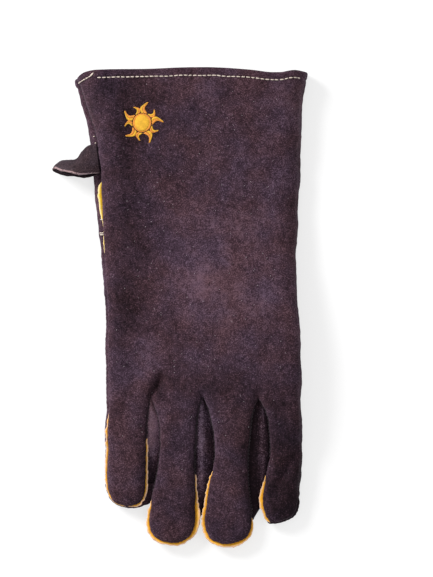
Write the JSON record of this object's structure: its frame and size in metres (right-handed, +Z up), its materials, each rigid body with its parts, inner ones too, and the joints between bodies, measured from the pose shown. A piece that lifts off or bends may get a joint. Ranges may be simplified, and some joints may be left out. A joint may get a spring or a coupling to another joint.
{
  "type": "leather heat-resistant gauntlet glove",
  "caption": "Long-cuffed suede leather work glove for the right hand, lying on its palm, with welted fingertips and a hanging loop at the cuff.",
  "frame": {"origin": "middle of the glove's bounding box on the surface that it lies on", "axes": "+X towards the index finger's side, +Y from the fingertips to the open cuff, +Z up through the back of the hand"},
  "size_m": [0.1868, 0.354, 0.0345],
  "materials": {
    "back_suede": "dark plum-brown split suede, matt",
    "palm_suede": "dark plum-brown split suede, matt",
    "fourchette_suede": "dark plum-brown split suede, matt",
    "loop_suede": "dark plum-brown split suede with pale raw edges, matt",
    "welt_leather": "golden yellow split leather, raw edge"
  },
  "bodies": {
    "root": {"back_panel": "back_suede", "palm_panel": "palm_suede", "thumb": "palm_suede", "fourchette_little_ring": "fourchette_suede", "fourchette_ring_middle": "fourchette_suede", "fourchette_middle_index": "fourchette_suede", "hanging_loop": "loop_suede", "welt_little": "welt_leather", "welt_ring": "welt_leather", "welt_middle": "welt_leather", "welt_index": "welt_leather", "welt_side": "welt_leather"}
  },
  "joints": []
}
